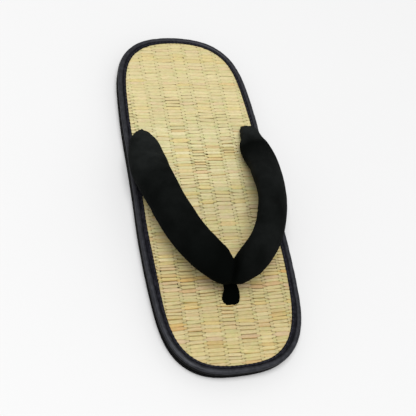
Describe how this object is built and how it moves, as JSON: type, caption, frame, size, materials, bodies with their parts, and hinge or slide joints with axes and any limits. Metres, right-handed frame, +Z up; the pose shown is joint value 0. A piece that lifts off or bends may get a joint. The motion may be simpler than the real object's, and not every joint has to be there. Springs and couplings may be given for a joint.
{
  "type": "rush-topped thong sandal (zori)",
  "caption": "Flat thong sandal with a woven rush footbed in a black piped edge, a black sole, and thick padded black cotton straps that meet at a toe post.",
  "frame": {"origin": "centre of the footprint, on the ground under the sole", "axes": "+Z up, toe towards -Y, heel towards +Y, X across the sandal"},
  "size_m": [0.1088, 0.2742, 0.0498],
  "materials": {
    "sole_rubber": "matt black, fine ribbed tread underneath",
    "binding_vinyl": "soft-gloss black leathercloth, stitched along its inner band",
    "rush": "dry woven rush, straw yellow with greenish and pinkish stalks",
    "strap_cotton": "matt black brushed cotton over soft padding",
    "post_cotton": "matt black cotton loop"
  },
  "bodies": {
    "root": {"outsole": "sole_rubber", "edge_binding": "binding_vinyl", "rush_mat": "rush", "straps": "strap_cotton", "toe_post": "post_cotton"}
  },
  "joints": []
}
